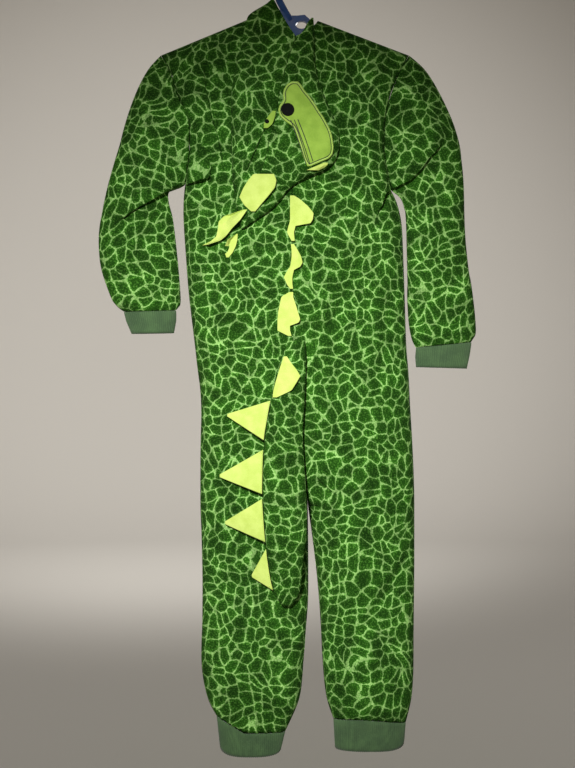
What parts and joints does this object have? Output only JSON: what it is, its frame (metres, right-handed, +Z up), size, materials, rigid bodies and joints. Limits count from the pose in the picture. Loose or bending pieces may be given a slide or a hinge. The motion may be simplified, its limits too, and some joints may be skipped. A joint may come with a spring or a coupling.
{
  "type": "dinosaur costume on a hanger",
  "caption": "Child's one-piece dinosaur costume in scale-print plush fleece with hood, felt spikes, tail, rib cuffs and front zip, hung by a plastic hanger.",
  "frame": {"origin": "inner top of the hanger's hook, where it rests on a rail", "axes": "+Z up; -Y is the costume's back with hood, spikes and tail, +Y its front with the zip; +X is the wearer's right"},
  "size_m": [0.489, 0.0909, 1.0426],
  "materials": {
    "plush_fleece": "printed plush fleece, short pile",
    "rib_knit": "rib knit",
    "felt_lime": "thick felt",
    "felt_green": "thick felt",
    "felt_black": "dense embroidery or felt",
    "blue_plastic": "smooth moulded plastic",
    "zip_green": "woven tape with moulded teeth",
    "zip_metal": "plated zip metal"
  },
  "bodies": {
    "costume": {"back_left": "plush_fleece", "back_right": "plush_fleece", "cuff_ankle_left": "rib_knit", "cuff_ankle_right": "rib_knit", "cuff_wrist_left": "rib_knit", "cuff_wrist_right": "rib_knit", "eye_left": "felt_black", "eye_patch_left": "felt_green", "eye_patch_right": "felt_green", "eye_right": "felt_black", "front_left": "plush_fleece", "front_right": "plush_fleece", "hanger": "blue_plastic", "hood_end_left": "plush_fleece", "hood_end_right": "plush_fleece", "hood_left": "plush_fleece", "hood_right": "plush_fleece", "sleeve_left": "plush_fleece", "sleeve_right": "plush_fleece", "spike_back_1": "felt_lime", "spike_back_2": "felt_lime", "spike_back_3": "felt_lime", "spike_hood_1": "felt_lime", "spike_hood_2": "felt_lime", "spike_hood_2_leaf": "felt_lime", "spike_hood_3": "felt_lime", "spike_tail_1": "felt_lime", "spike_tail_2": "felt_lime", "spike_tail_3": "felt_lime", "spike_tail_4": "felt_lime", "spike_tail_root": "felt_lime", "tail_left": "plush_fleece", "tail_right": "plush_fleece", "zip_chain": "zip_green", "zip_slider": "zip_metal"},
    "pull_tab": {"pull_tab": "zip_metal"}
  },
  "joints": [
    {"name": "pull_tab_hinge", "type": "hinge", "parent": "costume", "child": "pull_tab", "pos_m": [-0.006, 0.02074, -0.152], "axis": [1, 0, 0], "range_deg": [0, 150]}
  ]
}
